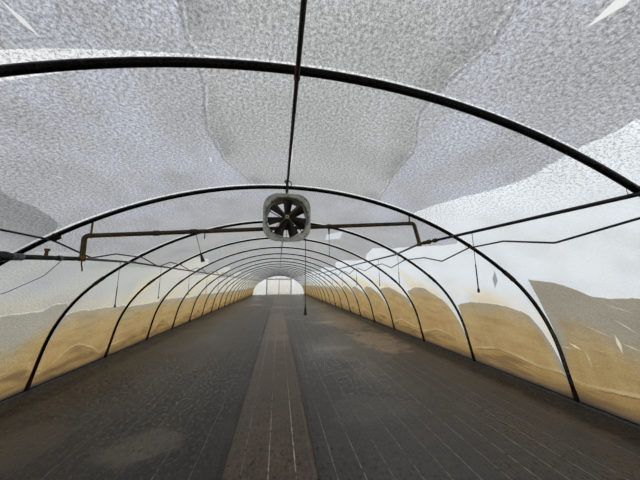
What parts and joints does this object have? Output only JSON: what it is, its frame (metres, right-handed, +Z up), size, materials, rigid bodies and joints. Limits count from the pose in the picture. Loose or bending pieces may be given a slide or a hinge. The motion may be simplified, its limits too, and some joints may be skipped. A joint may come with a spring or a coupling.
{
  "type": "polytunnel greenhouse",
  "caption": "Long round-arched film greenhouse on steel hoops, with double doors at the ends and a hung fan.",
  "frame": {"origin": "on the ground in the middle of the tunnel's footprint", "axes": "+Y along the tunnel to the far doors, +X to the right across it, +Z up"},
  "size_m": [7.8394, 39.7194, 2.8628],
  "materials": {
    "hoop_steel": "weathered dark galvanised tube",
    "splice_steel": "rusty steel sleeve",
    "ground_tube_steel": "muddy galvanised tube",
    "purlin_steel": "dark tube",
    "clamp_steel": "rusty clamp",
    "cover_film": "aged milky film, ochre towards the ground",
    "end_film": "bright milky film",
    "door_film": "pale yellow-green film",
    "door_steel": "dark painted tube",
    "batten": "black muddy batten",
    "ground_cover": "woven black cover with pale tracer lines",
    "walkway_cover": "woven cover stained brown",
    "fan_shell": "grey-green moulded housing with grime",
    "fan_blade": "dark dusty blades",
    "fan_steel": "dark rusty steel",
    "rusty_pipe": "rusty iron pipe",
    "pipe_wrap": "lumpy black tape round the pipe",
    "cord": "thin dark cord",
    "black_rubber": "black rubber weight",
    "black_pipe": "black water pipe"
  },
  "bodies": {
    "root": {"hoop_legs": "hoop_steel", "roof_bows": "hoop_steel", "splice_sleeves": "splice_steel", "ground_tubes": "ground_tube_steel", "ridge_purlin": "purlin_steel", "purlin_clamps": "clamp_steel", "battens": "batten", "film_left_1": "cover_film", "film_left_2": "cover_film", "film_left_3": "cover_film", "film_left_4": "cover_film", "film_left_5": "cover_film", "film_left_6": "cover_film", "film_right_1": "cover_film", "film_right_2": "cover_film", "film_right_3": "cover_film", "film_right_4": "cover_film", "film_right_5": "cover_film", "film_right_6": "cover_film", "end_film_left": "end_film", "end_film_right": "end_film", "end_film_top": "end_film", "door_posts": "door_steel", "door_headers": "door_steel", "near_door_frames": "door_steel", "near_door_films": "door_film", "near_door_straps": "door_steel", "ground_cover_left": "ground_cover", "ground_cover_right": "ground_cover", "ground_cover_walkway": "walkway_cover", "fan_housing": "fan_shell", "fan_motor": "fan_steel", "fan_guard": "fan_steel", "fan_hook": "fan_steel", "cross_pipe": "rusty_pipe", "pipe_junctions": "rusty_pipe", "lateral_pipes": "black_pipe", "droppers": "black_pipe", "side_hoses": "black_pipe", "wrapped_pipe": "pipe_wrap", "pipe_hangers": "rusty_pipe", "pipe_fittings": "rusty_pipe", "cross_pipe_droppers": "black_pipe", "hanging_cord": "cord", "cord_weight": "black_rubber"},
    "fan_rotor": {"fan_rotor": "fan_blade"},
    "far_door_left": {"far_door_left_frame": "door_steel", "far_door_left_film": "door_film", "far_door_left_straps": "door_steel"},
    "far_door_right": {"far_door_right_frame": "door_steel", "far_door_right_film": "door_film", "far_door_right_straps": "door_steel"}
  },
  "joints": [
    {"name": "fan_spin", "type": "hinge", "parent": "root", "child": "fan_rotor", "pos_m": [0, -16.39, 2.372], "axis": [0, 1, 0], "continuous": true},
    {"name": "far_door_left_hinge", "type": "hinge", "parent": "root", "child": "far_door_left", "pos_m": [-1.794, 19.84675, 1.15], "axis": [0, 0, 1], "range_deg": [0, 110]},
    {"name": "far_door_right_hinge", "type": "hinge", "parent": "root", "child": "far_door_right", "pos_m": [1.794, 19.84675, 1.15], "axis": [0, 0, -1], "range_deg": [0, 110]}
  ]
}
